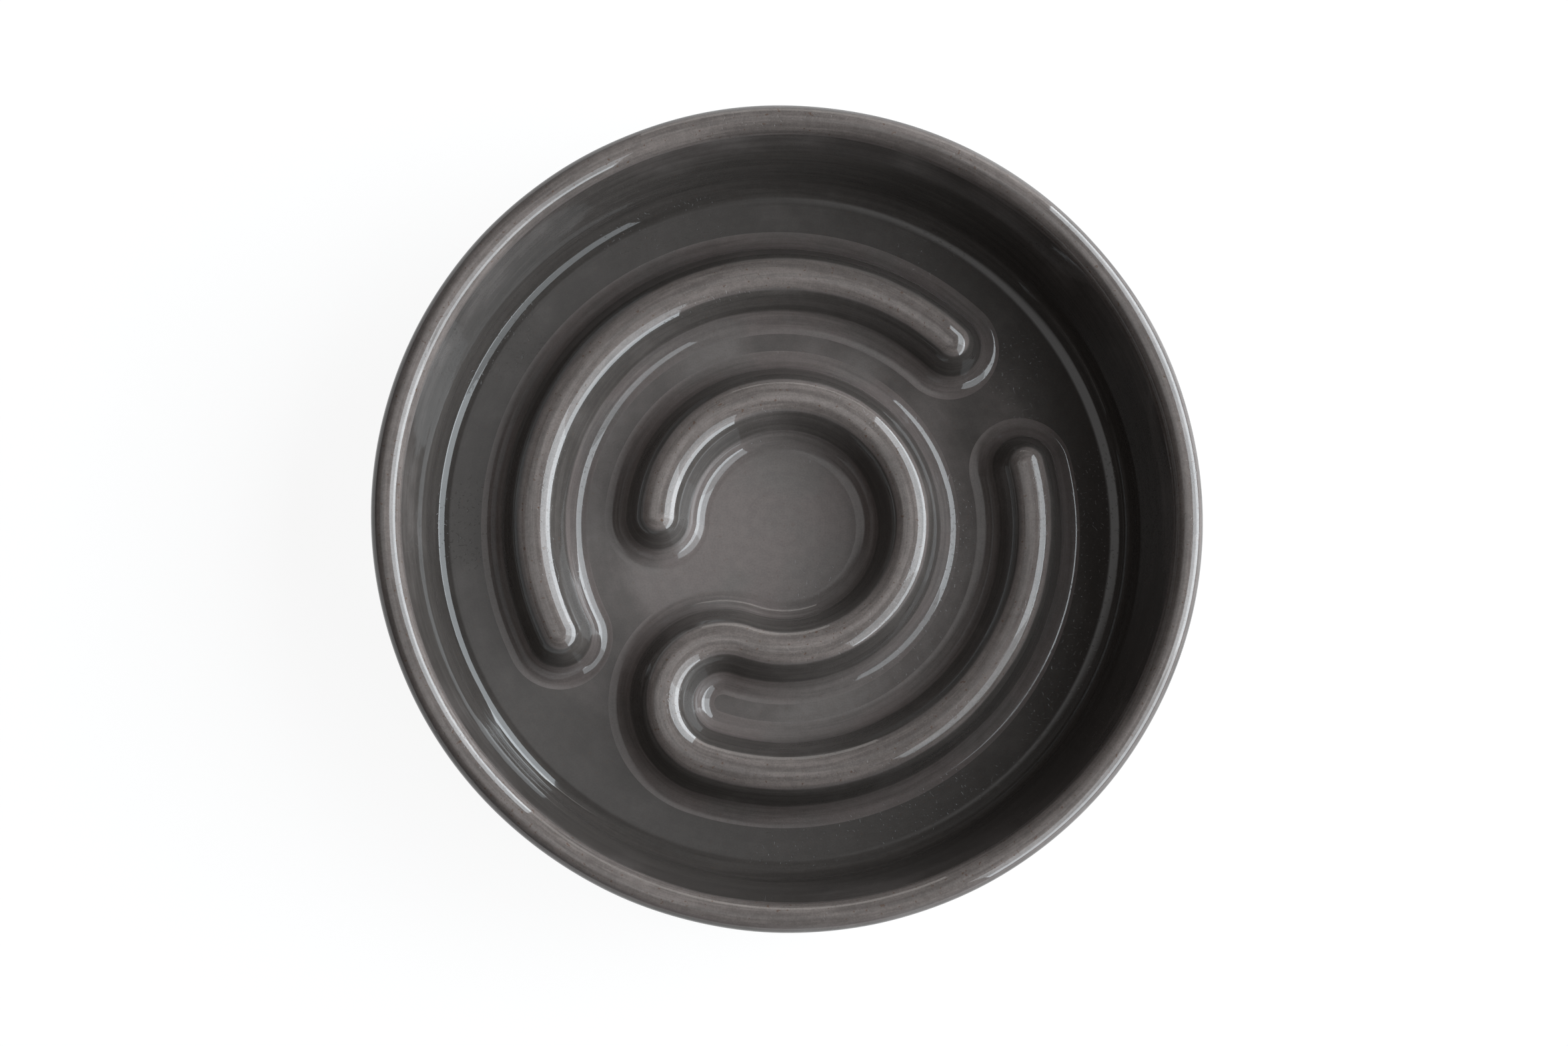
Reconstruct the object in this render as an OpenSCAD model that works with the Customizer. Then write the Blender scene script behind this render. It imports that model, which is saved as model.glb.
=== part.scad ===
// Slow feeder bowl in glazed stoneware, with two maze ridges on its floor.
// The origin is the middle of the face that it stands on, and +Z is up.
// Bearings are in degrees, counterclockwise from +X, seen from above.

/* [Bowl] */
// Outside diameter, at the rolled rim
bowl_d = 220; // [200:5:260]
// Overall height
bowl_h = 45; // [42:1:56]
// Thickness of the rolled rim
rim_t = 8; // [7:0.2:10]
// Thickness of the wall halfway up
wall_t = 6.8; // [5:0.2:8]
// How far the inside of the wall leans outwards from upright, in degrees
inside_lean = 11.5; // [6:0.5:12]
// How far the outside of the wall leans outwards from upright, in degrees
outside_lean = 9.5; // [6:0.5:12]
// Radius of the cove where the wall meets the floor inside
cove_r = 6; // [5:0.5:9]
// Radius of the heel where the wall turns under outside
heel_r = 11; // [6:0.5:12]
// Thickness of the floor
floor_t = 6.5; // [5:0.5:8]

/* [Foot ring] */
// Outside diameter of the foot ring
foot_d = 174; // [160:1:180]
// Width of the foot ring
foot_w = 7; // [5:0.5:10]
// Height of the foot ring
foot_h = 3; // [2:0.5:4]
// Radius of the rounded edges that the ring stands on
foot_edge_r = 1.4; // [0.8:0.1:1.8]

/* [Ridges] */
// Height of the ridges above the floor
ridge_h = 12.5; // [11:0.5:15]
// Radius of the round crown of a ridge
crown_r = 6.8; // [5.6:0.1:7]
// How far a ridge's flank leans from upright, in degrees
flank_lean = 24; // [18:1:30]
// Radius of the fillet at a ridge's foot
ridge_fillet_r = 6; // [4:0.5:6.5]
// Radius of the middle line of the inner ring
inner_path_r = 34.5; // [33.5:0.5:37.5]
// Radius of the middle line of the stretches that follow the wall
outer_path_r = 68; // [66:0.5:70]
// Bearing at which the long ridge turns back on itself
turn_at = 251.5; // [245:0.5:254]
// Bearing at which the short ridge starts
short_start = 47.5; // [40:0.5:50]

/* [Hidden] */
$fn = 96;

GLAZE = "#5f5854";
GLAZE_ON_RIDGES = "#736b65";
BARE_CLAY = "#b9a78f";

floor_z = foot_h + floor_t;
// Height of the level joint between the heel and the wall, just above the cove
wall_z = floor_z + cove_r;
rim_z = bowl_h - rim_t / 2;
rim_mid_r = (bowl_d - rim_t) / 2;
// The fillet ends where its slope has eased to this, so that the ridge's edge isn't as thin as a blade
feather_lean = 12;
// The floor slab ends this far inside the rounds of the cove and the heel
slab_margin = 0.6;
// A straight face runs this far into the round that it meets, so that the two cross and don't only touch
bite = 0.03;
// Two stretches of one ridge overlap by this many degrees
lap = 5;
// How far round the bowl each ridge runs: the inner ring back from the turn, the long ridge's stretch along
// the wall on from it, and the short ridge. Their sines and cosines are short decimals, such as 0.96 and
// 0.28, so that the stretches drawn from both ends of a ridge line up exactly.
RING_SPAN = atan2(-0.96, 0.28) + 360;
WALL_SPAN = atan2(0.8432, -0.5376);
SHORT_SPAN = atan2(0.352, -0.936);
// Distance between the middle lines of two neighbouring stretches, and the middle of the turn
pitch = outer_path_r - inner_path_r;
turn_mid_r = (outer_path_r + inner_path_r) / 2;

// A ridge's section: the middle of its crown, where its straight flank starts, and the middle of its fillet.
// x is the distance from the ridge's middle line, y the height above the floor.
crown_mid = [0, ridge_h - crown_r];
flank_normal = [cos(flank_lean), sin(flank_lean)];
flank_top = crown_mid + crown_r * flank_normal;
flank_drop = flank_top[1] - ridge_fillet_r * (1 - sin(flank_lean));
fillet_mid = [
    flank_top[0] + flank_drop * tan(flank_lean) + ridge_fillet_r * cos(flank_lean),
    ridge_fillet_r
];
fillet_edge = fillet_mid - ridge_fillet_r * [sin(feather_lean), cos(feather_lean)];
// One side of the section, from the floor up to the crown, with the fillet still to be cut from it
ridge_side = [
    [fillet_edge[0], 0],
    [fillet_edge[0], fillet_edge[1] + bite],
    fillet_mid - (ridge_fillet_r - bite) * flank_normal,
    crown_mid + (crown_r - bite) * flank_normal
];

// Inside and outside faces of the wall: radius at a height
inside_top = [rim_mid_r - rim_t / 2 * cos(inside_lean), rim_z - rim_t / 2 * sin(-inside_lean)];
function inside_r(z) = inside_top[0] - (inside_top[1] - z) * tan(inside_lean);
function outside_r(z) = inside_r((rim_z + floor_z) / 2) + wall_t + (z - (rim_z + floor_z) / 2) * tan(outside_lean);

// Middle of a circle of radius r that touches the inside face from within the bowl and lies on height z
function cove_mid(r, z) = [inside_r(z + r) - r / cos(inside_lean), z + r];
// Middle of a circle of radius r that touches the outside face from within the wall and stands on height z
function heel_mid(r, z) = [outside_r(z + r) - r / cos(outside_lean), z + r];

// Radius of the upright joint between the floor slab and the heel, where both of the heel's faces are still flat
joint_r = min(cove_mid(cove_r, floor_z)[0], heel_mid(heel_r, foot_h)[0]) - slab_margin;

// The section of the wall and the heel in one, from the joint face at joint_r up to the rolled rim
module side_section() {
    cove = cove_mid(cove_r, floor_z);
    heel = heel_mid(heel_r, foot_h);
    difference() {
        union() {
            polygon([
                [joint_r, foot_h],
                [heel[0], foot_h],
                heel + (heel_r - bite) * [cos(outside_lean), -sin(outside_lean)],
                [outside_r(rim_z), rim_z],
                [rim_mid_r, rim_z] + (rim_t / 2 - bite) * [-cos(inside_lean), sin(inside_lean)],
                cove + (cove_r - bite) * [cos(inside_lean), -sin(inside_lean)],
                [cove[0], floor_z],
                [joint_r, floor_z]
            ]);
            intersection() {
                translate(heel) circle(r = heel_r);
                translate([heel[0], foot_h]) square([heel_r, heel_r]);
            }
            translate([rim_mid_r, rim_z]) circle(d = rim_t);
        }
        translate(cove - [0, bite]) circle(r = cove_r);
    }
}

// Half of a ridge's section, on the side away from the bowl's middle
module ridge_half_section() {
    difference() {
        union() {
            polygon(concat([[0, 0]], ridge_side, [crown_mid]));
            intersection() {
                translate(crown_mid) circle(r = crown_r);
                translate(crown_mid - [0, crown_r]) square([crown_r, 2 * crown_r]);
            }
        }
        translate(fillet_mid) circle(r = ridge_fillet_r);
    }
}

// A ridge's whole section, drawn about its middle line
module ridge_section() {
    last = len(ridge_side) - 1;
    far_side = [for (i = [last : -1 : 0]) [-ridge_side[i][0], ridge_side[i][1]]];
    difference() {
        union() {
            polygon(concat(ridge_side, far_side));
            translate(crown_mid) circle(r = crown_r);
        }
        for (s = [-1, 1]) translate([s * fillet_mid[0], fillet_mid[1]]) circle(r = ridge_fillet_r);
    }
}

// A stretch of ridge about the bowl's middle, between two bearings
module ridge_sweep(path_r, from, to) {
    rotate_extrude(angle = to - from, start = from) translate([path_r, 0]) ridge_section();
}

// The round end of a ridge at bearing 0, on the side that from faces: 0 counterclockwise, 180 clockwise
module ridge_end(path_r, from) {
    translate([path_r, 0, 0]) rotate_extrude(angle = 180, start = from) ridge_half_section();
}

// Wall with its rolled rim
module bowl_wall() {
    color(GLAZE) rotate_extrude() intersection() {
        side_section();
        translate([0, wall_z]) square([bowl_d, bowl_h]);
    }
}

// Corner between the floor and the wall, with the cove inside and the round heel outside
module bowl_heel() {
    color(GLAZE) rotate_extrude() intersection() {
        side_section();
        square([bowl_d, wall_z]);
    }
}

// Floor slab inside the heel
module bowl_floor() {
    color(GLAZE) translate([0, 0, foot_h]) cylinder(r = joint_r, h = floor_t);
}

// Bare foot ring, with both lower edges rounded
module foot_ring() {
    inner_r = foot_d / 2 - foot_w;
    color(BARE_CLAY) rotate_extrude() {
        translate([inner_r, foot_edge_r]) square([foot_w, foot_h - foot_edge_r]);
        translate([inner_r + foot_edge_r, 0]) square([foot_w - 2 * foot_edge_r, foot_h]);
        translate([inner_r + foot_edge_r, foot_edge_r]) circle(r = foot_edge_r);
        translate([inner_r + foot_w - foot_edge_r, foot_edge_r]) circle(r = foot_edge_r);
    }
}

// Long ridge: the inner ring, the turn at its outer side, and the stretch along the wall.
// It is drawn from the turn, which is at bearing 0 here, out to its two ends.
module long_ridge() {
    color(GLAZE_ON_RIDGES) translate([0, 0, floor_z]) rotate([0, 0, turn_at]) {
        translate([turn_mid_r, 0, 0])
            rotate_extrude(angle = 180, start = 180)
                translate([pitch / 2, 0]) ridge_section();
        ridge_sweep(inner_path_r, 0, RING_SPAN / 2);
        rotate([0, 0, RING_SPAN]) {
            ridge_sweep(inner_path_r, -RING_SPAN / 2 - lap, 0);
            ridge_end(inner_path_r, 0);
        }
        ridge_sweep(outer_path_r, 0, WALL_SPAN / 2);
        rotate([0, 0, WALL_SPAN]) {
            ridge_sweep(outer_path_r, -WALL_SPAN / 2 - lap, 0);
            ridge_end(outer_path_r, 0);
        }
    }
}

// Short ridge along the wall, round at both ends, drawn as two overlapping halves
module short_ridge() {
    color(GLAZE_ON_RIDGES) translate([0, 0, floor_z]) rotate([0, 0, short_start]) {
        ridge_end(outer_path_r, 180);
        ridge_sweep(outer_path_r, 0, SHORT_SPAN / 2);
        rotate([0, 0, SHORT_SPAN]) {
            ridge_sweep(outer_path_r, -SHORT_SPAN / 2 - lap, 0);
            ridge_end(outer_path_r, 0);
        }
    }
}

bowl_wall();
bowl_heel();
bowl_floor();
foot_ring();
long_ridge();
short_ridge();
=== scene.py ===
"""Slow feeder bowl in dark glazed stoneware, seen from above on white paper, with a window at its right."""

import math

import bpy
from mathutils import Matrix, Vector


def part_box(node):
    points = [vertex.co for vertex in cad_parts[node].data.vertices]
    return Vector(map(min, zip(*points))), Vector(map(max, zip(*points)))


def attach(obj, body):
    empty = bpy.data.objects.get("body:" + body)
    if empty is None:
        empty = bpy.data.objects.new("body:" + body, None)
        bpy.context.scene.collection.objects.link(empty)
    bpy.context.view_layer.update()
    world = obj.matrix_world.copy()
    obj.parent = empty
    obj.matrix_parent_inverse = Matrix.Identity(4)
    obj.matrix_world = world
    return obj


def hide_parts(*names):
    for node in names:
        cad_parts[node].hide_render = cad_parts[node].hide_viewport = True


bl_info = {
    "name": "Slow feeder bowl",
    "version": (1, 0, 0),
    "blender": (4, 5, 0),
    "location": "View3D > Sidebar > Bowl",
    "description": "Models a glazed stoneware slow feeder bowl around its CAD frame, and its studio",
    "category": "Object",
}

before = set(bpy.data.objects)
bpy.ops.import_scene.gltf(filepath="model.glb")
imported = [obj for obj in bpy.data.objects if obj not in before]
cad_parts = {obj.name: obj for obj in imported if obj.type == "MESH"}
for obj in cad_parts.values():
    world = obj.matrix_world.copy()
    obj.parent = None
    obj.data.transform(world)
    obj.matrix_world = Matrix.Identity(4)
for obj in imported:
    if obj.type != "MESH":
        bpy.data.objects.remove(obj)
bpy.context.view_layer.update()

MM = 0.001

# The CAD's pieces whose boxes give the rim, the wall's joint, the floor, the foot and the ridges' height
WALL_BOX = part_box("bowl_wall")
FLOOR_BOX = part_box("bowl_floor")
FOOT_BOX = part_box("foot_ring")
RIDGE_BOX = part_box("long_ridge")

# The photograph's size in pixels, and the middle and radius of the bowl's outline in it
PHOTO_SIZE = (2351, 1568)
OUTLINE_MIDDLE = (1179.6, 778.7)
OUTLINE_RADIUS = 626
# Width of the camera's sensor, in millimetres
SENSOR_WIDTH = 36

# How thin (1) the glaze lies where it has run most, how dark (-1) where it pooled and where shade is painted,
# and the painted shade on a ridge's steep flanks
THIN, POOLED_AND_SHADED = 1.0, -1.0
FLANK_SHADE = -0.85

# Every turned piece has as many steps, so that neighbours meet point to point
TURN_STEPS = 288
# Steps along the ridges: inner ring, half turn, stretch along the wall, short ridge, round end
RING_STEPS, HALF_TURN_STEPS, WALL_STEPS, SHORT_STEPS, END_STEPS = 190, 72, 130, 170, 40
# Points of a mesh that are closer together than this are one point
SAME_POINT = 0.002 * MM
# Faces that meet at more degrees than this have a sharp edge between them
SHARP_EDGE = 40
# No ridge reaches further than this from its middle line
RIDGE_REACH = 20 * MM
# Length of the waves in which the hand-finished rim and crowns stray
RIM_WAVES, CROWN_WAVES = 45 * MM, 24 * MM

# Refractive index of the glaze, which sets how strongly it mirrors
GLAZE_IOR = 1.57
# A streak in the glaze is this many times as long as it is wide
STREAK_DRAW = 20

# The window at the right, pane by pane: its two sides and its lower and upper edge in degrees, and its share
# of the light. The sash towards the back is brighter, and the front one is shaded at its head.
PANES = {
    "window_front_foot": ((-51, -8), (11, 34), 0.9),
    "window_front_head": ((-51, -8), (34, 62), 0.34),
    "window_back_foot": ((-8, 55), (11, 34), 1.25),
    "window_back_head": ((-8, 55), (34, 62), 0.68),
}
# The pale foot of the wall at the back, in the same way
BACK_FOOT = ((-30, 28), (4, 26))
# How far the lamps stand from the bowl, in metres
LAMP_DISTANCE = 1.2
# Side of the square of paper, in metres: it fills the photograph's view by far
PAPER_SIZE = 30
# How bright the paper looks by itself to the camera, and the grey that adds the bowl's shadow to it
PAPER_OWN = 0.91
PAPER_SHADED = (0.12, 0.12, 0.12)


def linear(hex_colour):
    """An sRGB hex colour as linear red, green and blue."""
    channels = [int(hex_colour[i:i + 2], 16) / 255 for i in (1, 3, 5)]
    return [c / 12.92 if c <= 0.04045 else ((c + 0.055) / 1.055) ** 2.4 for c in channels]


def length(name, description, default):
    """A property for a size in metres."""
    return bpy.props.FloatProperty(name=name, description=description, default=default, precision=5,
                                   unit="LENGTH", subtype="DISTANCE")


def angle(name, description, degrees):
    """A property for an angle, from degrees."""
    return bpy.props.FloatProperty(name=name, description=description, default=math.radians(degrees),
                                   unit="ROTATION", subtype="ANGLE")


def colour(name, description, hex_colour):
    """A property for a colour, from sRGB hex."""
    return bpy.props.FloatVectorProperty(name=name, description=description, default=linear(hex_colour),
                                         subtype="COLOR", size=3, min=0, max=1)


def number(name, description, default):
    """A property for a plain number."""
    return bpy.props.FloatProperty(name=name, description=description, default=default, min=0, max=100)


class BowlSizes(bpy.types.PropertyGroup):
    """Sizes of the turned bowl"""
    rim_radius: length("Rim radius", "Outside radius of the bowl at its rim", WALL_BOX[1].x)
    rim_top: length("Rim height", "Height of the rim's crest", WALL_BOX[1].z)
    rim_thickness: length("Rim thickness", "Thickness of the rolled rim", 8 * MM)
    wall_thickness: length("Wall thickness", "Thickness of the wall halfway up", 6.8 * MM)
    inside_lean: angle("Inside lean", "How far the wall's inside leans out from upright", 11.5)
    outside_lean: angle("Outside lean", "How far the wall's outside leans out from upright", 9.5)
    cove_radius: length("Cove radius", "Radius of the cove where wall and floor meet", 6 * MM)
    heel_radius: length("Heel radius", "Radius of the heel outside", 11 * MM)
    roll_fillet: length("Roll fillet", "Radius of the glaze in the corner under the rolled rim", 2.2 * MM)
    wall_joint: length("Wall joint", "Height of the joint between heel and wall", WALL_BOX[0].z)
    floor_top: length("Floor height", "Height of the floor's upper face", FLOOR_BOX[1].z)
    floor_radius: length("Floor radius", "Radius of the floor slab", FLOOR_BOX[1].x)
    foot_height: length("Foot height", "Height of the foot ring", FOOT_BOX[1].z)
    foot_radius: length("Foot radius", "Outside radius of the foot ring", FOOT_BOX[1].x)
    foot_width: length("Foot width", "Width of the foot ring", 7 * MM)
    foot_edge: length("Foot edge", "Radius of the foot ring's worn edges", 1.4 * MM)
    rim_wobble: length("Rim wobble", "How far the hand-finished rim strays from a true round", 0.35 * MM)


class RidgeSizes(bpy.types.PropertyGroup):
    """Sizes and places of the maze ridges"""
    height: length("Ridge height", "Height of a ridge above the floor", RIDGE_BOX[1].z - RIDGE_BOX[0].z)
    crown_radius: length("Crown radius", "Radius of a ridge's round crown", 6.8 * MM)
    flank_lean: angle("Flank lean", "How far a ridge's flank leans from upright", 24)
    fillet_radius: length("Fillet radius", "Radius of the fillet at a ridge's foot", 6 * MM)
    inner_radius: length("Inner path radius", "Radius of the inner ring's middle line", 34.5 * MM)
    outer_radius: length("Outer path radius", "Radius of the middle line along the wall", 68 * MM)
    turn_bearing: angle("Turn bearing", "Bearing at which the long ridge turns back", 251.5)
    ring_span: angle("Ring span", "How far round the inner ring runs", 286.26)
    wall_span: angle("Wall span", "How far round the long ridge follows the wall", 122.52)
    short_bearing: angle("Short bearing", "Bearing at which the short ridge starts", 47.5)
    short_span: angle("Short span", "How far round the short ridge runs", 159.39)
    # Where the crown's thin glaze ends and the painted shade of the flanks begins
    thin_and_shade_edge: length("Thin edge", "From a ridge's middle line to where the glaze turns thick", 4.1 * MM)
    crown_wobble: length("Crown wobble", "How far a hand-finished crown strays from true", 0.22 * MM)


class GlazeColours(bpy.types.PropertyGroup):
    """Colours of glaze and clay"""
    even: colour("Even glaze", "Glaze at its usual thickness, on the floor", "#6e6562")
    thin: colour("Thin glaze", "Glaze that has run thin on crowns and rim", "#716864")
    # The dark glaze also carries the painted shade on walls, cove, grooves and flanks
    pooled_and_shade: colour("Pooled glaze", "Glaze that has pooled along the wall and on flanks", "#4a4542")
    cool: colour("Cool glaze", "Greener patches where the glaze is a little reduced", "#6b6461")
    iron: colour("Iron specks", "Specks of iron that burn through the glaze", "#5a4234")
    clay: colour("Bare clay", "Fired stoneware without glaze", "#a8947c")
    clay_dark: colour("Toasted clay", "Clay toasted beside the glaze line", "#7d6752")
    grog: colour("Grog", "Dark grains in the bare clay", "#4b3c30")


class StudioSettings(bpy.types.PropertyGroup):
    """Camera, floor and lamps"""
    distance: length("Camera distance", "From the middle of the rim to the camera", 0.75)
    tilt: angle("Camera tilt", "How far the camera stands off the vertical", 8.4)
    bearing: angle("Camera bearing", "Bearing at which the camera stands", 240)
    window: number("Window radiance", "How bright the window at the right is", 6.8)
    window_bearing: angle("Window bearing", "Bearing at which the window stands", -4)
    daylight: colour("Daylight", "Colour of the window's light", "#eff9ff")
    back_shine: number("Back wall shine", "How bright the back wall's foot is in reflections", 1.3)
    back_bearing: angle("Back wall bearing", "Bearing at which the wall at the back stands", 78)
    back_tint: colour("Back wall colour", "Colour of the foot of the wall at the back", "#fffaf4")
    room: number("Room radiance", "How bright the room's dark walls are", 0.03)
    ceiling: number("Ceiling radiance", "How bright the ceiling is where it is lit", 0.78)
    back_wall: number("Back wall radiance", "How bright the wall at the back is", 0.12)
    paper: colour("Paper", "White paper that the bowl stands on", "#f4f4f4")


def settings():
    """The scene's own copy of every size and colour."""
    scene = bpy.context.scene
    return scene.bowl_sizes, scene.ridge_sizes, scene.glaze_colours, scene.studio_settings


def smoothstep(low, high, value):
    """0 at low and beyond it, 1 at high and beyond it, and smooth between them."""
    share = min(max((value - low) / (high - low), 0), 1)
    return share * share * (3 - 2 * share)


# Sections. A section starts as points (x, z, glaze) in metres: x from the axis or the middle line, z the
# height, and glaze how thin or pooled the glaze lies there. The function measured turns them into
# (x, z, across, glaze), where across is the way along the section.

def arc(middle, radius, start, end, steps, glaze=0.0):
    """Points of a section along an arc, between two angles in degrees, with the glaze that lies on them."""
    points = []
    for i in range(steps + 1):
        turn = math.radians(start + (end - start) * i / steps)
        points.append((middle[0] + radius * math.cos(turn), middle[1] + radius * math.sin(turn), glaze))
    return points


def line(start, end, steps, glaze=0.0):
    """Points of a section along a straight line, both ends left out."""
    return [(start[0] + (end[0] - start[0]) * i / steps, start[1] + (end[1] - start[1]) * i / steps, glaze)
            for i in range(1, steps)]


def glazed(points, level):
    """The points with their glaze given by a function of x and z."""
    return [(x, z, level(x, z)) for x, z, _ in points]


def measured(points, first_across, soften):
    """The points with the way along the section added, and their glaze softened over a length along it."""
    way = [first_across]
    for a, b in zip(points, points[1:]):
        way.append(way[-1] + math.hypot(b[0] - a[0], b[1] - a[1]))
    # Each point stands for the stretch of section around it
    last = len(way) - 1
    stretches = [way[min(i + 1, last)] - way[max(i - 1, 0)] for i in range(len(way))]
    section = []
    for (x, z, _), here in zip(points, way):
        weights = [math.exp(-((there - here) / soften) ** 2) * stretch
                   for there, stretch in zip(way, stretches)]
        glaze = sum(weight * point[2] for weight, point in zip(weights, points)) / sum(weights)
        section.append((x, z, here, glaze))
    return section


def start_piece(name):
    """Deselects everything, and adds one vertex as the start of a piece's section."""
    if bpy.context.object and bpy.context.object.mode != "OBJECT":
        bpy.ops.object.mode_set(mode="OBJECT")
    bpy.ops.object.select_all(action="DESELECT")
    bpy.ops.mesh.primitive_plane_add(size=MM, location=(0, 0, 0))
    piece = bpy.context.object
    piece.name = name
    piece.data.name = name
    bpy.ops.object.mode_set(mode="EDIT")
    bpy.ops.mesh.select_all(action="SELECT")
    bpy.ops.mesh.merge(type="CENTER")
    return piece


def draw_section(name, section, bearing=0.0, closed=True):
    """Draws a section at a bearing, point by point, as one line of edges, and leaves it selected to edit."""
    piece = start_piece(name)
    corners = [Vector((x * math.cos(bearing), x * math.sin(bearing), z)) for x, z, _, _ in section]
    bpy.ops.transform.translate(value=corners[0])
    for a, b in zip(corners, corners[1:]):
        bpy.ops.mesh.extrude_region_move(TRANSFORM_OT_translate={"value": b - a})
    if closed:
        bpy.ops.object.mode_set(mode="OBJECT")
        ends = (0, len(corners) - 1)
        for vertex in piece.data.vertices:
            vertex.select = vertex.index in ends
        bpy.ops.object.mode_set(mode="EDIT")
        bpy.ops.mesh.edge_face_add()
    bpy.ops.object.mode_set(mode="OBJECT")
    for title, place in (("across", 2), ("glaze", 3)):
        attribute = piece.data.attributes.new(title, "FLOAT", "POINT")
        attribute.data.foreach_set("value", [point[place] for point in section])
    bpy.ops.object.mode_set(mode="EDIT")
    bpy.ops.mesh.select_all(action="SELECT")
    return piece


def spin(turn, middle, steps):
    """Spins what is selected counterclockwise about an upright axis, and leaves its last copy selected."""
    # The tool turns clockwise about its axis, which therefore points down
    bpy.ops.mesh.spin(steps=steps, angle=turn, center=middle, axis=(0, 0, -1), use_auto_merge=False)


def finish_mesh():
    """Closes seams and poles of the piece in edit mode, points its faces outwards and shades them smooth."""
    bpy.ops.mesh.select_all(action="SELECT")
    bpy.ops.mesh.remove_doubles(threshold=SAME_POINT)
    bpy.ops.mesh.normals_make_consistent(inside=False)
    bpy.ops.mesh.select_all(action="DESELECT")
    bpy.ops.object.mode_set(mode="OBJECT")
    bpy.ops.object.shade_smooth_by_angle(angle=math.radians(SHARP_EDGE))


def turned(name, section, closed=True):
    """A piece turned about the bowl's axis from its section."""
    piece = draw_section(name, section, closed=closed)
    spin(2 * math.pi, (0, 0, 0), TURN_STEPS)
    finish_mesh()
    return piece


def wobble(piece, strength, size, low, high):
    """Lets a piece's surface sink by up to a strength, in waves of a size: fully above the height high, and
    not at all below the height low."""
    group = piece.vertex_groups.new(name="wobble")
    for vertex in piece.data.vertices:
        share = smoothstep(low, high, vertex.co.z)
        if share > 0:
            group.add([vertex.index], share, "REPLACE")
    waves = bpy.data.textures.new(piece.name + "_waves", "CLOUDS")
    waves.noise_scale = size
    waves.noise_depth = 1
    modifier = piece.modifiers.new("wobble", "DISPLACE")
    modifier.texture = waves
    modifier.texture_coords = "LOCAL"
    modifier.vertex_group = group.name
    modifier.strength = strength
    # At this middle level the surface never swells, so that it stays inside the CAD's box
    modifier.mid_level = 1.0
    bpy.context.view_layer.objects.active = piece
    bpy.ops.object.modifier_apply(modifier=modifier.name)


def settle(piece, node, material):
    """Dresses a finished piece, puts it in its node's place and lets it ride on the one body."""
    piece.data.materials.clear()
    piece.data.materials.append(material)
    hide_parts(node)
    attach(piece, "root")


# The bowl's own lines

def wall_lines(sizes):
    """The wall's radius inside and outside at a height, and the middle and radius of the rim's round."""
    roll = sizes.rim_thickness / 2
    rim = Vector((sizes.rim_radius - roll, sizes.rim_top - roll))
    lean_in, lean_out = sizes.inside_lean, sizes.outside_lean
    top = rim + roll * Vector((-math.cos(lean_in), math.sin(lean_in)))
    halfway = (rim.y + sizes.floor_top) / 2

    def inside(z):
        return top.x - (top.y - z) * math.tan(lean_in)

    def outside(z):
        return inside(halfway) + sizes.wall_thickness + (z - halfway) * math.tan(lean_out)

    return inside, outside, rim, roll


def wall_section(sizes):
    """The upright wall: up the inside, over the rolled rim, through the corner under it, down the outside."""
    inside, outside, rim, roll = wall_lines(sizes)
    lean_in, lean_out = math.degrees(sizes.inside_lean), math.degrees(sizes.outside_lean)
    fillet = sizes.roll_fillet
    # The fillet's middle lies a fillet outside the wall's face, and touches the rim's round from below
    along = Vector((math.sin(sizes.outside_lean), math.cos(sizes.outside_lean)))
    outwards = Vector((along.y, -along.x))
    start = Vector((outside(rim.y), rim.y)) + fillet * outwards - rim
    half = start.dot(along)
    reach = -half - math.sqrt(half * half - start.length_squared + (roll + fillet) ** 2)
    corner = rim + start + reach * along
    towards = math.degrees(math.atan2(rim.y - corner.y, rim.x - corner.x))
    bottom_in = (inside(sizes.wall_joint), sizes.wall_joint)
    bottom_out = (outside(sizes.wall_joint), sizes.wall_joint)

    # The glaze has run off the rim's crest. Its outer side, and the corner under the rim, are painted darker
    # as shade
    crest_end, outer_shade_start = rim.x + 0.3 * roll, rim.x + 0.95 * roll
    roll_over = glazed(arc(rim, roll, 180 - lean_in, towards - 180, steps=44),
                       lambda x, z: THIN - 1.7 * smoothstep(crest_end, outer_shade_start, x))
    corner_in = arc(corner, fillet, towards, 180 - lean_out, steps=10, glaze=POOLED_AND_SHADED)
    # The inside is painted darker as shade, most at the bottom by the cove and a little less so towards the
    # rim
    upright = glazed([(*bottom_in, 0)] + line(bottom_in, roll_over[0], steps=18),
                     lambda x, z: POOLED_AND_SHADED + 0.35 * smoothstep(bottom_in[1], rim.y, z))
    points = upright + roll_over + corner_in[1:]
    points += line(corner_in[-1], bottom_out, steps=14) + [(*bottom_out, 0)]
    up_the_cove = sizes.cove_radius * (math.pi / 2 - sizes.inside_lean)
    return measured(points, sizes.floor_radius + up_the_cove, soften=0.6 * MM)


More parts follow.
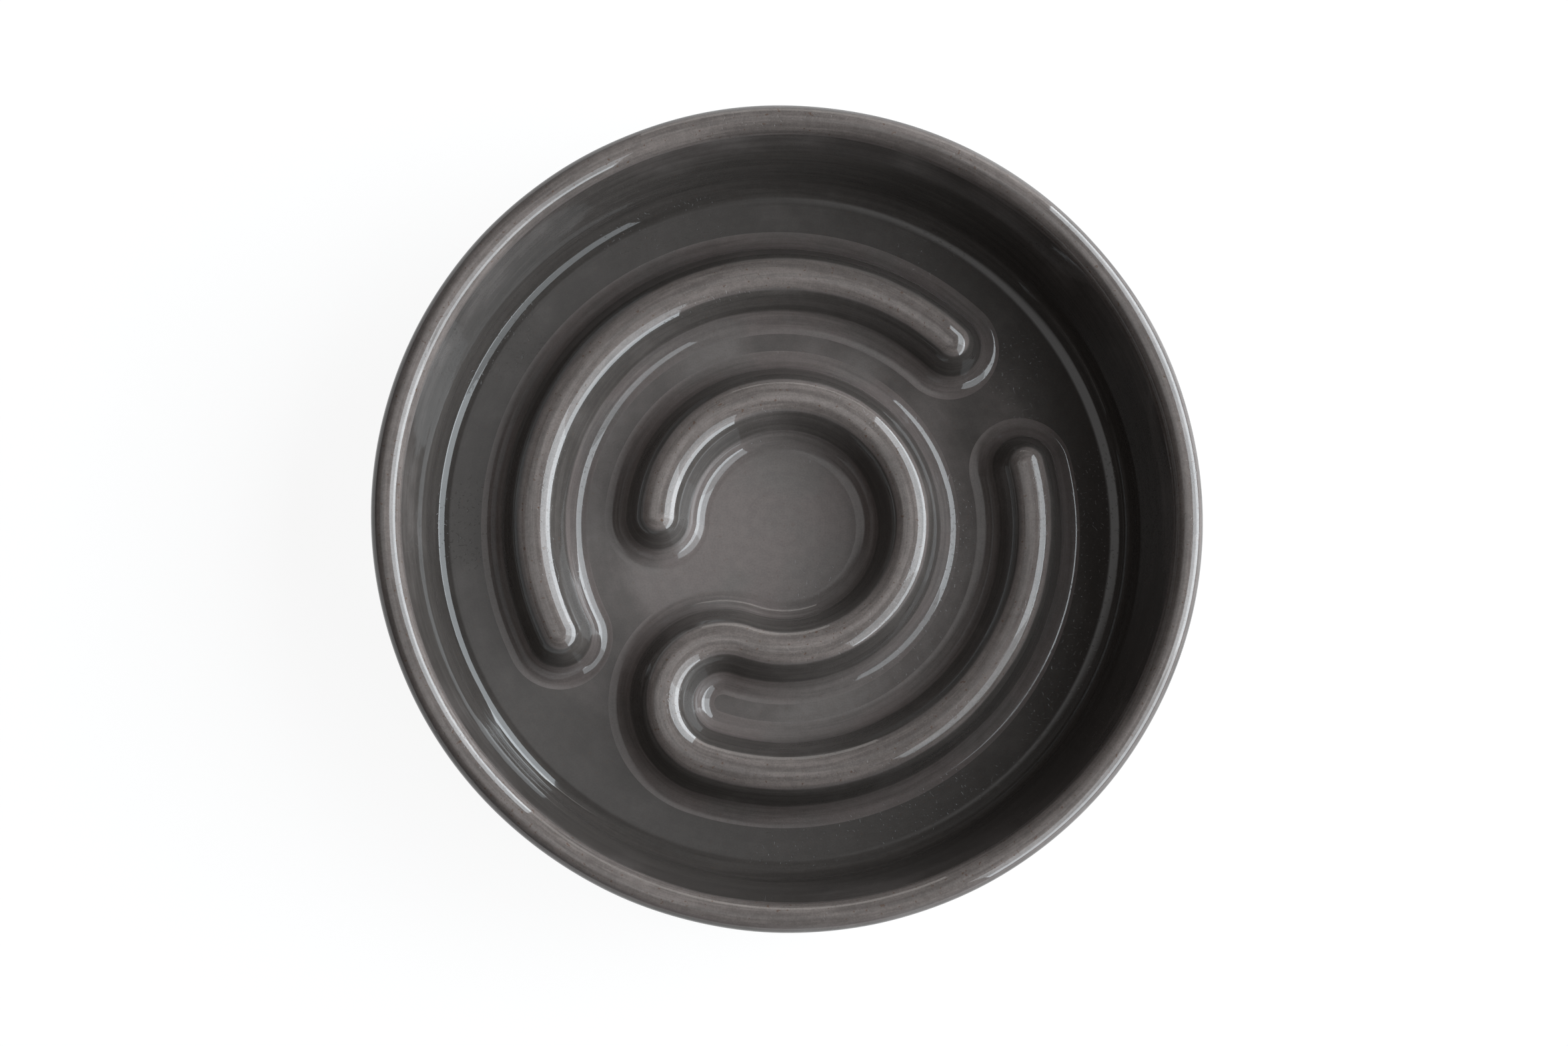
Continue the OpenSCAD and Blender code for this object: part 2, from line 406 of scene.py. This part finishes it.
def heel_section(sizes):
    """The corner between floor and wall: the cove inside and the round heel outside."""
    inside, outside, _, _ = wall_lines(sizes)
    lean_in, lean_out = math.degrees(sizes.inside_lean), math.degrees(sizes.outside_lean)
    cove_z, heel_z = sizes.floor_top + sizes.cove_radius, sizes.foot_height + sizes.heel_radius
    cove = (inside(cove_z) - sizes.cove_radius / math.cos(sizes.inside_lean), cove_z)
    heel = (outside(heel_z) - sizes.heel_radius / math.cos(sizes.outside_lean), heel_z)
    joint_in = (inside(sizes.wall_joint), sizes.wall_joint)
    joint_out = (outside(sizes.wall_joint), sizes.wall_joint)
    floor_edge, under_edge = (sizes.floor_radius, sizes.floor_top), (sizes.floor_radius, sizes.foot_height)
    # The cove, and nearly as much the floor's edge, are painted dark as shade; the glaze has run off the
    # round of the heel
    edge_shade, heel_glaze = -0.8, 0.4
    hollow = arc(cove, sizes.cove_radius, -90, -lean_in, steps=26, glaze=POOLED_AND_SHADED)
    round_heel = arc(heel, sizes.heel_radius, -lean_out, -90, steps=24, glaze=heel_glaze)
    points = [(*floor_edge, edge_shade)] + line(floor_edge, hollow[0], steps=3, glaze=edge_shade)
    points += hollow[:-1] + [(*joint_in, POOLED_AND_SHADED)]
    points += line(joint_in, joint_out, steps=3) + [(*joint_out, 0)] + round_heel
    points += line(round_heel[-1], under_edge, steps=8) + [(*under_edge, 0)]
    return measured(points, sizes.floor_radius, soften=1.6 * MM)


def floor_section(sizes):
    """The floor slab, from the middle of its upper face round to the middle of its lower one."""
    middle_top, edge_top = (0, sizes.floor_top), (sizes.floor_radius, sizes.floor_top)
    middle_under, edge_under = (0, sizes.foot_height), (sizes.floor_radius, sizes.foot_height)
    # The grooves are painted darker as shade: a little in the inner groove, and more so along the wall
    inner_groove, outer_groove = (38 * MM, 48 * MM), (68 * MM, 82 * MM)
    points = glazed([(*middle_top, 0)] + line(middle_top, edge_top, steps=44) + [(*edge_top, 0)],
                    lambda x, z: -0.5 * smoothstep(*inner_groove, x) - 0.35 * smoothstep(*outer_groove, x))
    points += [(*edge_under, 0)] + line(edge_under, middle_under, steps=24) + [(*middle_under, 0)]
    return measured(points, 0, soften=1 * MM)


def foot_section(sizes):
    """The foot ring, with the two edges that it stands on worn round."""
    outer, inner = sizes.foot_radius, sizes.foot_radius - sizes.foot_width
    edge, top = sizes.foot_edge, sizes.foot_height
    outer_round = arc((outer - edge, edge), edge, 0, -90, steps=12)
    inner_round = arc((inner + edge, edge), edge, -90, -180, steps=12)
    points = [(outer, top, 0)] + line((outer, top), outer_round[0], steps=3) + outer_round
    points += line(outer_round[-1], inner_round[0], steps=6) + inner_round
    points += line(inner_round[-1], (inner, top), steps=3) + [(inner, top, 0)]
    points += line((inner, top), (outer, top), steps=4)
    return measured(points, 0, soften=1 * MM)


def ridge_section(ridges):
    """A ridge's section about its middle line, from the middle of its bed round over the crown and back.
    The fillets run out level with the floor, and the bed lies a little below it."""
    crown = (0, ridges.height - ridges.crown_radius)
    lean = ridges.flank_lean
    top = Vector(crown) + ridges.crown_radius * Vector((math.cos(lean), math.sin(lean)))
    drop = top.y - ridges.fillet_radius * (1 - math.sin(lean))
    fillet = (top.x + drop * math.tan(lean) + ridges.fillet_radius * math.cos(lean), ridges.fillet_radius)
    bed = -0.4 * MM
    # The glaze has run thin on the crown alone. Its steep sides are painted dark as shade, beginning at a
    # clear edge that paints where the lit ceiling's reflection ends on the crown
    thin_to, shade_from = ridges.thin_and_shade_edge - 0.5 * MM, ridges.thin_and_shade_edge + 0.5 * MM
    hollow = arc(fillet, ridges.fillet_radius, -90, -180 + math.degrees(lean), steps=16, glaze=-0.1)
    crown_half = glazed(arc(crown, ridges.crown_radius, math.degrees(lean), 90, steps=26),
                        lambda x, z: FLANK_SHADE + (THIN - FLANK_SHADE) * smoothstep(shade_from, thin_to, x))
    side = [(0, bed, 0)] + line((0, bed), (fillet[0], bed), steps=3) + [(fillet[0], bed, 0)] + hollow
    side += line(hollow[-1], crown_half[0], steps=5, glaze=FLANK_SHADE) + crown_half
    # The second side is the first one mirrored, from the crown down, without its points on the middle line
    points = side + [(-x, z, glaze) for x, z, glaze in reversed(side[1:-1])]
    section = measured(points, 0, soften=0.5 * MM)
    crown_way = section[len(side) - 1][2]
    return [(x, z, way - crown_way, glaze) for x, z, way, glaze in section]


def moved(section, x, z):
    """A section moved outwards and up."""
    return [(p[0] + x, p[1] + z, p[2], p[3]) for p in section]


def on_circle(radius, bearing):
    """The point at a bearing on a circle about the bowl's axis."""
    return radius * math.cos(bearing), radius * math.sin(bearing), 0


def ridge_end(piece, path_radius, bearing, turn):
    """Rounds off a ridge's end at a bearing: its outer half is spun half round its middle line's end."""
    middle = on_circle(path_radius, bearing)
    bpy.ops.mesh.select_all(action="DESELECT")
    bpy.ops.object.mode_set(mode="OBJECT")
    radial = Vector((math.cos(bearing), math.sin(bearing), 0))
    along = Vector((-math.sin(bearing), math.cos(bearing), 0))
    near = 0.001 * MM
    for vertex in piece.data.vertices:
        way = vertex.co - Vector(middle)
        vertex.select = abs(way.dot(along)) < near and -near < way.dot(radial) < RIDGE_REACH
    bpy.ops.object.mode_set(mode="EDIT")
    spin(turn, middle, END_STEPS)


class BOWL_OT_wall(bpy.types.Operator):
    """Turn the wall with its rolled rim"""
    bl_idname = "bowl.wall"
    bl_label = "Wall and rim"

    def execute(self, context):
        sizes, _, _, _ = settings()
        wall = turned("glazed_wall", wall_section(sizes))
        # The wall starts to stray above its joint, and does so fully just below the rim's crest
        wobble(wall, sizes.rim_wobble, RIM_WAVES, low=sizes.wall_joint + 6 * MM, high=sizes.rim_top - 6 * MM)
        settle(wall, "bowl_wall", glaze_material())
        return {"FINISHED"}


class BOWL_OT_heel(bpy.types.Operator):
    """Turn the corner between floor and wall"""
    bl_idname = "bowl.heel"
    bl_label = "Heel and cove"

    def execute(self, context):
        sizes, _, _, _ = settings()
        settle(turned("glazed_heel", heel_section(sizes)), "bowl_heel", glaze_material())
        return {"FINISHED"}


class BOWL_OT_floor(bpy.types.Operator):
    """Turn the floor slab"""
    bl_idname = "bowl.floor"
    bl_label = "Floor"

    def execute(self, context):
        sizes, _, _, _ = settings()
        floor = turned("glazed_floor", floor_section(sizes), closed=False)
        settle(floor, "bowl_floor", glaze_material())
        return {"FINISHED"}


class BOWL_OT_foot(bpy.types.Operator):
    """Turn the bare foot ring"""
    bl_idname = "bowl.foot"
    bl_label = "Foot ring"

    def execute(self, context):
        sizes, _, _, _ = settings()
        settle(turned("bare_foot_ring", foot_section(sizes)), "foot_ring", clay_material())
        return {"FINISHED"}


class BOWL_OT_ridges(bpy.types.Operator):
    """Run the two maze ridges along their paths"""
    bl_idname = "bowl.ridges"
    bl_label = "Maze ridges"

    def execute(self, context):
        sizes, ridges, _, _ = settings()
        section = ridge_section(ridges)
        inner = moved(section, ridges.inner_radius, sizes.floor_top)
        outer = moved(section, ridges.outer_radius, sizes.floor_top)
        axis = (0, 0, 0)

        # The long ridge runs back round the inner ring to its turn, through it, and on along the wall
        start, turn = ridges.turn_bearing + ridges.ring_span, ridges.turn_bearing
        piece = draw_section("glazed_long_ridge", inner, start)
        spin(-ridges.ring_span, axis, RING_STEPS)
        spin(math.pi, on_circle((ridges.inner_radius + ridges.outer_radius) / 2, turn), HALF_TURN_STEPS)
        spin(ridges.wall_span, axis, WALL_STEPS)
        ridge_end(piece, ridges.inner_radius, start, math.pi)
        ridge_end(piece, ridges.outer_radius, turn + ridges.wall_span, math.pi)
        self.finish(piece, "long_ridge")

        start = ridges.short_bearing
        piece = draw_section("glazed_short_ridge", outer, start)
        spin(ridges.short_span, axis, SHORT_STEPS)
        ridge_end(piece, ridges.outer_radius, start, -math.pi)
        ridge_end(piece, ridges.outer_radius, start + ridges.short_span, math.pi)
        self.finish(piece, "short_ridge")
        return {"FINISHED"}

    def finish(self, piece, node):
        """Closes a ridge, lets its crown stray a little, and settles it."""
        sizes, ridges, _, _ = settings()
        finish_mesh()
        crest = sizes.floor_top + ridges.height
        wobble(piece, ridges.crown_wobble, CROWN_WAVES, low=sizes.floor_top + 4 * MM, high=crest - 2 * MM)
        settle(piece, node, glaze_material())


# Materials

def add_node(tree, kind, inputs=None, **values):
    """Adds a node. Inputs go to its sockets, by name or number, as values or as links from other sockets."""
    node = tree.nodes.new(kind)
    for key, value in values.items():
        setattr(node, key, value)
    for key, value in (inputs or {}).items():
        if isinstance(value, bpy.types.NodeSocket):
            tree.links.new(value, node.inputs[key])
        else:
            node.inputs[key].default_value = value
    return node


def rgba(three):
    """A colour of three numbers as the four that a socket takes."""
    return (*three, 1.0)


def empty_material(name):
    """A material with no nodes yet."""
    material = bpy.data.materials.new(name)
    material.use_nodes = True
    material.node_tree.nodes.clear()
    return material, material.node_tree


def new_material(name):
    """A material with its output and shader."""
    material, tree = empty_material(name)
    shader = add_node(tree, "ShaderNodeBsdfPrincipled")
    add_node(tree, "ShaderNodeOutputMaterial", {"Surface": shader.outputs[0]})
    return material, tree, shader


def noise(tree, place, feature, detail=2.0, rough=0.5):
    """Noise whose features are a feature long, in metres."""
    return add_node(tree, "ShaderNodeTexNoise", {"Vector": place, "Scale": 1 / feature, "Detail": detail,
                                                 "Roughness": rough}).outputs["Fac"]


def math_node(tree, operation, *values):
    """One step of arithmetic on sockets and numbers."""
    return add_node(tree, "ShaderNodeMath", dict(enumerate(values)), operation=operation).outputs[0]


def vector_node(tree, operation, *values):
    """One step of arithmetic on vectors."""
    return add_node(tree, "ShaderNodeVectorMath", dict(enumerate(values)), operation=operation).outputs[0]


def remap(tree, value, low, high, new_low=0.0, new_high=1.0):
    """A value mapped smoothly from one range to another, and held at its ends."""
    return add_node(tree, "ShaderNodeMapRange", {0: value, 1: low, 2: high, 3: new_low, 4: new_high},
                    interpolation_type="SMOOTHSTEP").outputs[0]


def strayed(tree, value, waves, reach):
    """A value that noise moves up and down, by up to half a reach each way."""
    away = math_node(tree, "MULTIPLY", math_node(tree, "SUBTRACT", waves, 0.5), reach)
    return math_node(tree, "ADD", value, away)


def blend(tree, share, first, second, mode="MIX"):
    """Two colours mixed by a share."""
    return add_node(tree, "ShaderNodeMix", {0: share, 6: first, 7: second}, data_type="RGBA",
                    blend_type=mode).outputs[2]


def dimmed(tree, share, first, value):
    """A colour multiplied by a value, by a share."""
    grey = add_node(tree, "ShaderNodeCombineColor", {0: value, 1: value, 2: value}).outputs[0]
    return blend(tree, share, first, grey, "MULTIPLY")


def bump(tree, shader, height, distance, strength):
    """Gives a shader relief from a height, at a distance in metres for each unit of it."""
    node = add_node(tree, "ShaderNodeBump", {"Height": height, "Distance": distance, "Strength": strength})
    tree.links.new(node.outputs[0], shader.inputs["Normal"])


def glaze_material():
    """Stoneware glaze, dipped and fired glossy. It gives the eye a deep, wet, warm grey with sharp
    reflections, lighter where it ran thin over crowns and rim, and finely mottled there by bubbles."""
    # Shade is painted into the colour: the glaze is darker on walls, cove, grooves, flanks and the outer part
    if "glazed_stoneware" in bpy.data.materials:
        return bpy.data.materials["glazed_stoneware"]
    sizes, _, colours, _ = settings()
    material, tree, shader = new_material("glazed_stoneware")
    coordinates = add_node(tree, "ShaderNodeTexCoord").outputs
    place = coordinates["Object"]
    apart = add_node(tree, "ShaderNodeSeparateXYZ", {0: place}).outputs
    upright = add_node(tree, "ShaderNodeSeparateXYZ", {0: coordinates["Normal"]}).outputs[2]
    thin = add_node(tree, "ShaderNodeAttribute", attribute_name="glaze").outputs["Fac"]
    across = add_node(tree, "ShaderNodeAttribute", attribute_name="across").outputs["Fac"]

    # Clouds of 18 mm in the melt, mottle of 2.5 mm and bubbles of 0.5 mm
    clouds = noise(tree, place, 18 * MM, 3)
    mottle = noise(tree, place, 2.5 * MM, 4, 0.6)
    bubbles = noise(tree, place, 0.5 * MM, 2, 0.6)
    # Streaks left by turning and by the brush: 2 mm across and finer, and drawn out to 40 mm along the way.
    # In the colour they also paint faint lines of reflection along the ridges
    stretched = vector_node(tree, "MULTIPLY", place, (1 / STREAK_DRAW, 1 / STREAK_DRAW, 0))
    row = add_node(tree, "ShaderNodeCombineXYZ", {"Z": across}).outputs[0]
    streaks_and_reflections = noise(tree, vector_node(tree, "ADD", stretched, row), 2 * MM, 5, 0.68)

    thinness = remap(tree, strayed(tree, thin, mottle, 0.7), 0.05, 0.85)
    # Where it pools, and where shade is painted, the dark glaze lies in the clouds' own patches
    pooling_and_shade = remap(tree, strayed(tree, thin, clouds, 1.2), -0.1, -0.9)
    # Level floors were smoothed with a sponge, and show 0.16 of the streaks. Steep faces show 0.65 of them,
    # and thin glaze shows them all; on steep faces their colour partly paints reflection lines.
    streaked = math_node(tree, "MAXIMUM", thinness, remap(tree, upright, 0.998, 0.96, 0.16, 0.65))
    melt = blend(tree, remap(tree, clouds, 0.42, 0.62), rgba(colours.even), rgba(colours.cool))
    melt = blend(tree, pooling_and_shade, melt, rgba(colours.pooled_and_shade))
    melt = blend(tree, thinness, melt, rgba(colours.thin))
    # Mottle and bubbles show most where the glaze is thin
    grain = math_node(tree, "MULTIPLY", math_node(tree, "ADD", mottle, bubbles), 0.5)
    grained = remap(tree, thinness, 0.0, 1.0, 0.6, 1.0)
    melt = dimmed(tree, grained, melt, remap(tree, grain, 0.40, 0.60, 0.90, 1.10))
    # The streaks lighten and darken the colour by a fifth each way: real streaks, and painted reflection
    # lines along the ridges
    melt = dimmed(tree, streaked, melt, remap(tree, streaks_and_reflections, 0.36, 0.64, 0.80, 1.20))
    # Iron in the clay burns through, mostly where the glaze is thin, as brown specks of half a millimetre
    iron = remap(tree, noise(tree, place, 1.1 * MM, 1), 0.69, 0.74)
    burnt = math_node(tree, "MULTIPLY", iron, remap(tree, thinness, 0.0, 1.0, 0.15, 0.6))
    melt = blend(tree, burnt, melt, rgba(colours.iron))
    # The outer part of the bowl is a little darker: painted shade, towards the wall
    squares = [math_node(tree, "MULTIPLY", apart[i], apart[i]) for i in (0, 1)]
    from_axis = math_node(tree, "SQRT", math_node(tree, "ADD", *squares))
    melt = blend(tree, remap(tree, from_axis, 40 * MM, 75 * MM), melt, (0.9, 0.9, 0.9, 1), "MULTIPLY")

    # The underside's glaze is wiped back beside the foot ring, in a line that wavers by a millimetre
    ring_middle = sizes.foot_radius - sizes.foot_width / 2
    wavered = strayed(tree, from_axis, noise(tree, place, 9 * MM), 2.5 * MM)
    beside = math_node(tree, "ABSOLUTE", math_node(tree, "SUBTRACT", wavered, ring_middle))
    below = remap(tree, apart[2], sizes.foot_height + 0.5 * MM, sizes.foot_height + 0.2 * MM)
    wiped = math_node(tree, "MULTIPLY", remap(tree, beside, 5.6 * MM, 5.3 * MM), below)
    toasted = remap(tree, beside, 4.6 * MM, 5.6 * MM)
    clay = blend(tree, toasted, rgba(colours.clay), rgba(colours.clay_dark))
    tree.links.new(blend(tree, wiped, melt, clay), shader.inputs["Base Color"])

    # The wiped clay is matt
    gloss = remap(tree, mottle, 0.3, 0.8, 0.02, 0.05)
    roughness = add_node(tree, "ShaderNodeMix", {0: wiped, 2: gloss, 3: 0.75}).outputs[0]
    tree.links.new(roughness, shader.inputs["Roughness"])
    shader.inputs["IOR"].default_value = GLAZE_IOR

    # The melt lies in soft waves of 9 mm, about 0.02 mm high, with finer ones and the streaks on top. Now and
    # then a turning line stands out from it, and patches of 30 mm have pinholes of 0.3 mm, 0.02 mm deep.
    patches = remap(tree, noise(tree, place, 30 * MM, 0), 0.50, 0.58)
    pinholes = math_node(tree, "MULTIPLY", remap(tree, noise(tree, place, 0.8 * MM, 0), 0.70, 0.76), patches)
    lines = math_node(tree, "MULTIPLY", remap(tree, streaks_and_reflections, 0.62, 0.72), streaked)
    height = math_node(tree, "MULTIPLY", noise(tree, place, 9 * MM, 1), 0.035)
    for part, share in ((noise(tree, place, 2.2 * MM, 1), 0.004), (pinholes, -0.02),
                        (math_node(tree, "MULTIPLY", streaks_and_reflections, streaked), 0.006), (lines, 0.006)):
        height = math_node(tree, "ADD", height, math_node(tree, "MULTIPLY", part, share))
    bump(tree, shader, height, MM, 1.0)
    return material


def clay_material():
    """Bare stoneware, fired and worn by use. It gives the eye a matt, gritty buff with darker specks."""
    if "bare_stoneware" in bpy.data.materials:
        return bpy.data.materials["bare_stoneware"]
    _, _, colours, _ = settings()
    material, tree, shader = new_material("bare_stoneware")
    place = add_node(tree, "ShaderNodeTexCoord").outputs["Object"]
    # Toasting in patches of 12 mm, and grog of 0.4 mm
    patches = remap(tree, noise(tree, place, 12 * MM, 3), 0.35, 0.75, 0.0, 0.6)
    grog = noise(tree, place, 0.4 * MM, 3, 0.7)
    body = blend(tree, patches, rgba(colours.clay), rgba(colours.clay_dark))
    body = blend(tree, remap(tree, grog, 0.6, 0.72, 0.0, 0.55), body, rgba(colours.grog))
    tree.links.new(body, shader.inputs["Base Color"])
    shader.inputs["Roughness"].default_value = 0.78
    bump(tree, shader, grog, 0.12 * MM, 0.8)
    return material


# The studio

def paper_material(studio):
    """Matt white paper. It gives the eye a plain white ground that keeps the bowl's soft shadow."""
    material, tree = empty_material("matt_white_paper")
    matt = add_node(tree, "ShaderNodeBsdfDiffuse", {"Color": rgba(studio.paper)}).outputs[0]
    # To the camera and in reflections, most of the white is the paper's own and the rest shows the shadow
    shaded = add_node(tree, "ShaderNodeBsdfDiffuse", {"Color": rgba(PAPER_SHADED)}).outputs[0]
    own = add_node(tree, "ShaderNodeEmission", {"Color": (1, 1, 1, 1), "Strength": PAPER_OWN}).outputs[0]
    white = add_node(tree, "ShaderNodeAddShader", {0: shaded, 1: own}).outputs[0]
    ray = add_node(tree, "ShaderNodeLightPath").outputs
    reflected = math_node(tree, "MAXIMUM", ray["Is Glossy Ray"], ray["Is Transmission Ray"])
    seen = math_node(tree, "MAXIMUM", ray["Is Camera Ray"], reflected)
    mixed = add_node(tree, "ShaderNodeMixShader", {0: seen, 1: matt, 2: white}).outputs[0]
    add_node(tree, "ShaderNodeOutputMaterial", {"Surface": mixed})
    return material


def upright_lamp(name, bearing, sides, heights, radiance, tint, shine_only=False):
    """A flat upright soft lamp that faces the bowl from a bearing. Its two sides, counted counterclockwise,
    and its lower and upper edge are given in degrees, as they are seen from the bowl."""
    left, right, low, high = [LAMP_DISTANCE * math.tan(math.radians(edge)) for edge in (*sides, *heights)]
    data = bpy.data.lights.new(name, "AREA")
    data.shape = "RECTANGLE"
    data.size, data.size_y = right - left, high - low
    # An area lamp of this radiance and area gives off pi times both, in watts
    data.energy = math.pi * radiance * data.size * data.size_y
    data.color = tint
    lamp = bpy.data.objects.new(name, data)
    bpy.context.scene.collection.objects.link(lamp)
    outwards = Vector((math.cos(bearing), math.sin(bearing), 0))
    along = Vector((-outwards.y, outwards.x, 0))
    lamp.location = LAMP_DISTANCE * outwards + (left + right) / 2 * along + Vector((0, 0, (low + high) / 2))
    lamp.rotation_euler = (-outwards).to_track_quat("-Z", "Y").to_euler()
    lamp.visible_camera = False
    lamp.visible_diffuse = not shine_only


def room_world(studio):
    """The room round the bowl, by direction: dark walls, a ceiling lit on the left, and a paler back wall."""
    world = bpy.data.worlds.new("room")
    world.use_nodes = True
    tree = world.node_tree
    tree.nodes.clear()
    direction = add_node(tree, "ShaderNodeTexCoord").outputs["Generated"]
    towards = add_node(tree, "ShaderNodeSeparateXYZ", {0: direction}).outputs
    # The ceiling is lit near the zenith and on the left, and dark above the window, the camera and the back
    ceiling = studio.ceiling
    for axis, dark, lit in ((2, 0.70, 0.82), (0, 0.20, -0.05), (1, -0.45, -0.15), (1, 0.45, 0.10)):
        ceiling = math_node(tree, "MULTIPLY", ceiling, remap(tree, towards[axis], dark, lit))
    back = math_node(tree, "MULTIPLY", remap(tree, towards[1], 0.2, 0.8), studio.back_wall)
    total = math_node(tree, "ADD", math_node(tree, "ADD", ceiling, back), studio.room)
    surface = add_node(tree, "ShaderNodeBackground", {"Color": (1, 1, 1, 1), "Strength": total}).outputs[0]
    add_node(tree, "ShaderNodeOutputWorld", {"Surface": surface})
    return world


class BOWL_OT_studio(bpy.types.Operator):
    """Set up the camera, the paper, the lamps and the world"""
    bl_idname = "bowl.studio"
    bl_label = "Studio"

    def execute(self, context):
        sizes, _, _, studio = settings()
        scene = context.scene
        scene.view_settings.view_transform = "Standard"

        # The camera looks at the middle of the rim's widest circle
        target = Vector((0, 0, sizes.rim_top - sizes.rim_thickness / 2))
        way = Vector((math.sin(studio.tilt) * math.cos(studio.bearing),
                      math.sin(studio.tilt) * math.sin(studio.bearing), math.cos(studio.tilt)))
        side = Vector((0, 1, 0)).cross(way).normalized()
        up = way.cross(side)
        data = bpy.data.cameras.new("camera")
        data.sensor_width = SENSOR_WIDTH
        data.clip_start, data.clip_end = 0.01, 100
        # The rim's circle is OUTLINE_RADIUS pixels in radius, in a frame as wide as the photograph
        data.lens = SENSOR_WIDTH * (OUTLINE_RADIUS / PHOTO_SIZE[0]) * studio.distance / sizes.rim_radius
        # A tilted circle's picture is nearer to the camera's side than the picture of its middle
        nearer = OUTLINE_RADIUS * math.sin(studio.tilt) * sizes.rim_radius / studio.distance
        shift_x = PHOTO_SIZE[0] / 2 - OUTLINE_MIDDLE[0] + nearer * math.cos(studio.bearing)
        shift_y = OUTLINE_MIDDLE[1] - PHOTO_SIZE[1] / 2 + nearer * math.sin(studio.bearing)
        data.shift_x, data.shift_y = shift_x / PHOTO_SIZE[0], shift_y / PHOTO_SIZE[0]
        camera = bpy.data.objects.new("camera", data)
        scene.collection.objects.link(camera)
        turn = Matrix((side, up, way)).transposed().to_4x4()
        camera.matrix_world = Matrix.Translation(target + studio.distance * way) @ turn
        scene.camera = camera

        bpy.ops.object.select_all(action="DESELECT")
        bpy.ops.mesh.primitive_plane_add(size=PAPER_SIZE, location=(0, 0, 0))
        paper = context.object
        paper.name = "paper"
        paper.data.materials.append(paper_material(studio))

        for name, (sides, heights, share) in PANES.items():
            upright_lamp(name, studio.window_bearing, sides, heights, share * studio.window, studio.daylight)
        # The pale foot of the wall at the back, which only shows as a faint band in the glaze
        upright_lamp("back_wall", studio.back_bearing, *BACK_FOOT, studio.back_shine, studio.back_tint,
                     shine_only=True)
        scene.world = room_world(studio)
        return {"FINISHED"}


class BOWL_PT_panel(bpy.types.Panel):
    """Lists the steps that make the bowl, and its settings"""
    bl_idname = "BOWL_PT_panel"
    bl_label = "Slow feeder bowl"
    bl_space_type = "VIEW_3D"
    bl_region_type = "UI"
    bl_category = "Bowl"

    def draw(self, context):
        for step in STEPS:
            self.layout.operator(step.bl_idname)
        for group in settings():
            for name in group.__annotations__:
                self.layout.prop(group, name)


STEPS = (BOWL_OT_studio, BOWL_OT_wall, BOWL_OT_heel, BOWL_OT_floor, BOWL_OT_foot, BOWL_OT_ridges)
GROUPS = {"bowl_sizes": BowlSizes, "ridge_sizes": RidgeSizes, "glaze_colours": GlazeColours,
          "studio_settings": StudioSettings}


def register():
    """Registers the settings, the steps and the panel."""
    for name, group in GROUPS.items():
        bpy.utils.register_class(group)
        setattr(bpy.types.Scene, name, bpy.props.PointerProperty(type=group))
    for kind in (*STEPS, BOWL_PT_panel):
        bpy.utils.register_class(kind)


def unregister():
    """Takes everything back out, last first."""
    for kind in (BOWL_PT_panel, *reversed(STEPS)):
        bpy.utils.unregister_class(kind)
    for name, group in reversed(GROUPS.items()):
        delattr(bpy.types.Scene, name)
        bpy.utils.unregister_class(group)


def main():
    """Makes the studio and every piece."""
    register()
    bpy.ops.bowl.studio()
    bpy.ops.bowl.wall()
    bpy.ops.bowl.heel()
    bpy.ops.bowl.floor()
    bpy.ops.bowl.foot()
    bpy.ops.bowl.ridges()


if __name__ == "__main__":
    main()
